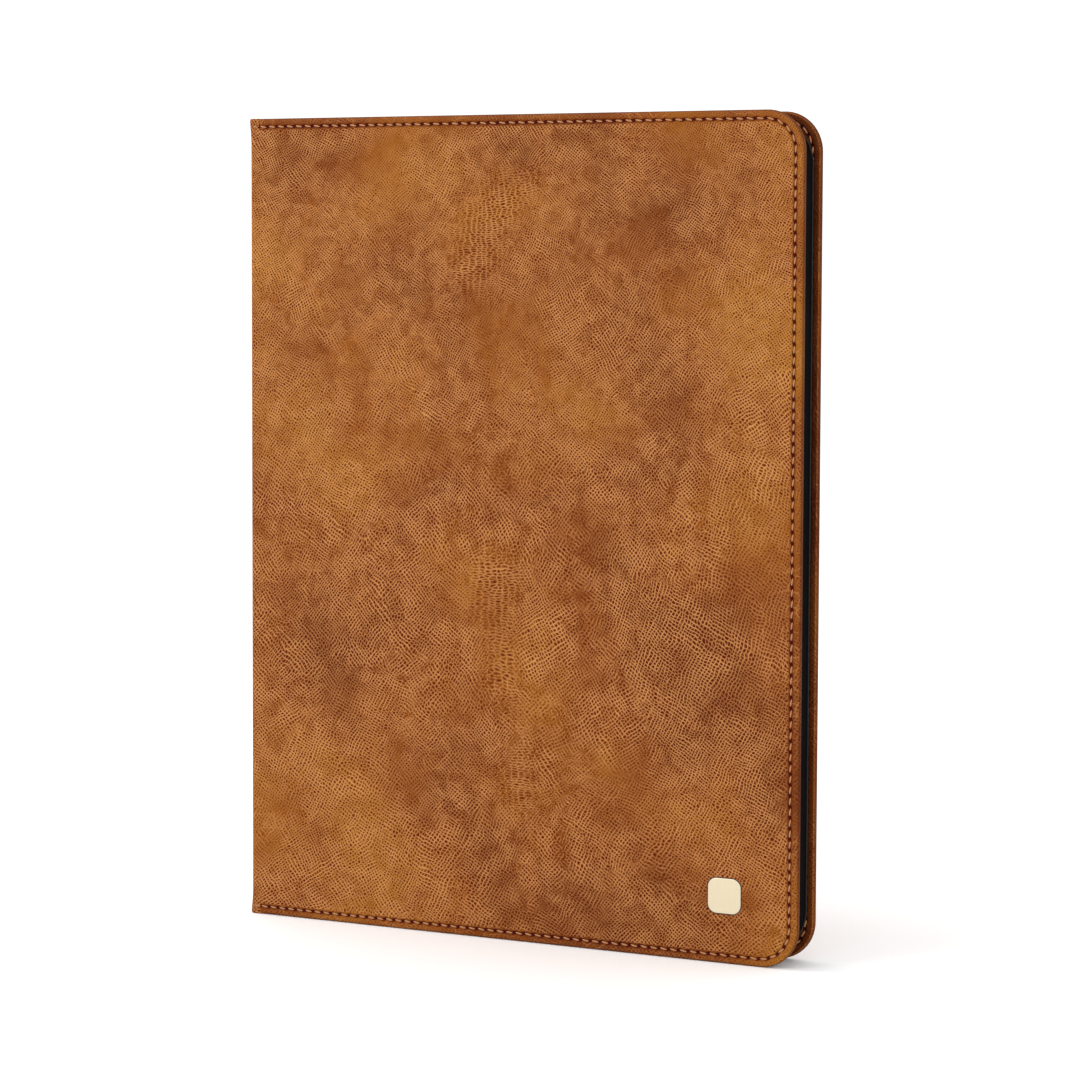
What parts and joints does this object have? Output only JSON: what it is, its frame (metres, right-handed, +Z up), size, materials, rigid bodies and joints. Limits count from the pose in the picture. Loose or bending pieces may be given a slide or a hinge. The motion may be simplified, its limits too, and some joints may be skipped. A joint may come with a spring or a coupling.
{
  "type": "e-reader in a leather book cover",
  "caption": "Slim e-reader held in a black tray inside a stitched tan leather book cover that opens on two spine folds.",
  "frame": {"origin": "centre of the closed cover's footprint, on the plane its tail edges stand on", "axes": "+X from the spine to the fore edge, +Y from the front cover to the back cover, +Z up towards the head"},
  "size_m": [0.187, 0.0164, 0.253],
  "materials": {
    "tan_leather": "satin",
    "board": "matte",
    "lining": "suede",
    "thread": "waxed",
    "champagne_metal": "brushed",
    "magnet": "plated",
    "black_tray": "satin",
    "grey_foam": "matte",
    "housing": "soft matte",
    "battery_foil": "foil",
    "white_tape": "matte",
    "circuit_board": "solder mask",
    "tinned_steel": "tinned",
    "black_component": "moulded",
    "flex_film": "polyimide film",
    "frame_alloy": "cast",
    "screen_film": "matte paper-like",
    "light_guide": "clear",
    "bezel_ink": "printed",
    "front_glass": "anti-glare"
  },
  "bodies": {
    "back_and_reader": {"back_leather": "tan_leather", "back_board": "board", "back_lining": "lining", "back_needle_thread": "thread", "back_bobbin_thread": "thread", "tray_bond": "grey_foam", "tray": "black_tray", "rear_housing": "housing", "mid_frame": "frame_alloy", "display_panel": "screen_film", "light_guide": "light_guide", "led_strip": "flex_film", "bezel_mask": "bezel_ink", "front_lens": "front_glass", "battery_pack": "battery_foil", "battery_tape": "white_tape", "mainboard": "circuit_board", "processor_shield": "tinned_steel", "radio_shield": "tinned_steel", "hall_sensor": "black_component", "button_switch": "tinned_steel", "port_board": "circuit_board", "port_flex": "flex_film", "usb_shell": "tinned_steel", "usb_tongue": "black_component", "chassis_screw_1": "tinned_steel", "chassis_screw_2": "tinned_steel", "chassis_screw_3": "tinned_steel", "chassis_screw_4": "tinned_steel", "chassis_screw_5": "tinned_steel", "chassis_screw_6": "tinned_steel"},
    "spine": {"spine_leather": "tan_leather", "spine_board": "board", "spine_lining": "lining"},
    "front_cover": {"front_leather": "tan_leather", "front_board": "board", "front_lining": "lining", "front_needle_thread": "thread", "front_bobbin_thread": "thread", "badge_plate": "champagne_metal", "sleep_magnet": "magnet", "closure_magnet_upper": "magnet", "closure_magnet_lower": "magnet"},
    "power_key": {"power_button": "housing"}
  },
  "joints": [
    {"name": "back_fold", "type": "hinge", "parent": "back_and_reader", "child": "spine", "pos_m": [-0.0935, 0.0081, 0], "axis": [0, 0, -1], "range_deg": [0, 179]},
    {"name": "front_fold", "type": "hinge", "parent": "spine", "child": "front_cover", "pos_m": [-0.0935, -0.0081, 0], "axis": [0, 0, -1], "range_deg": [0, 179]},
    {"name": "power_press", "type": "slide", "parent": "back_and_reader", "child": "power_key", "axis": [0, 0, -1], "range_m": [0, 0.0003], "stiffness_N_per_m": 2000}
  ]
}
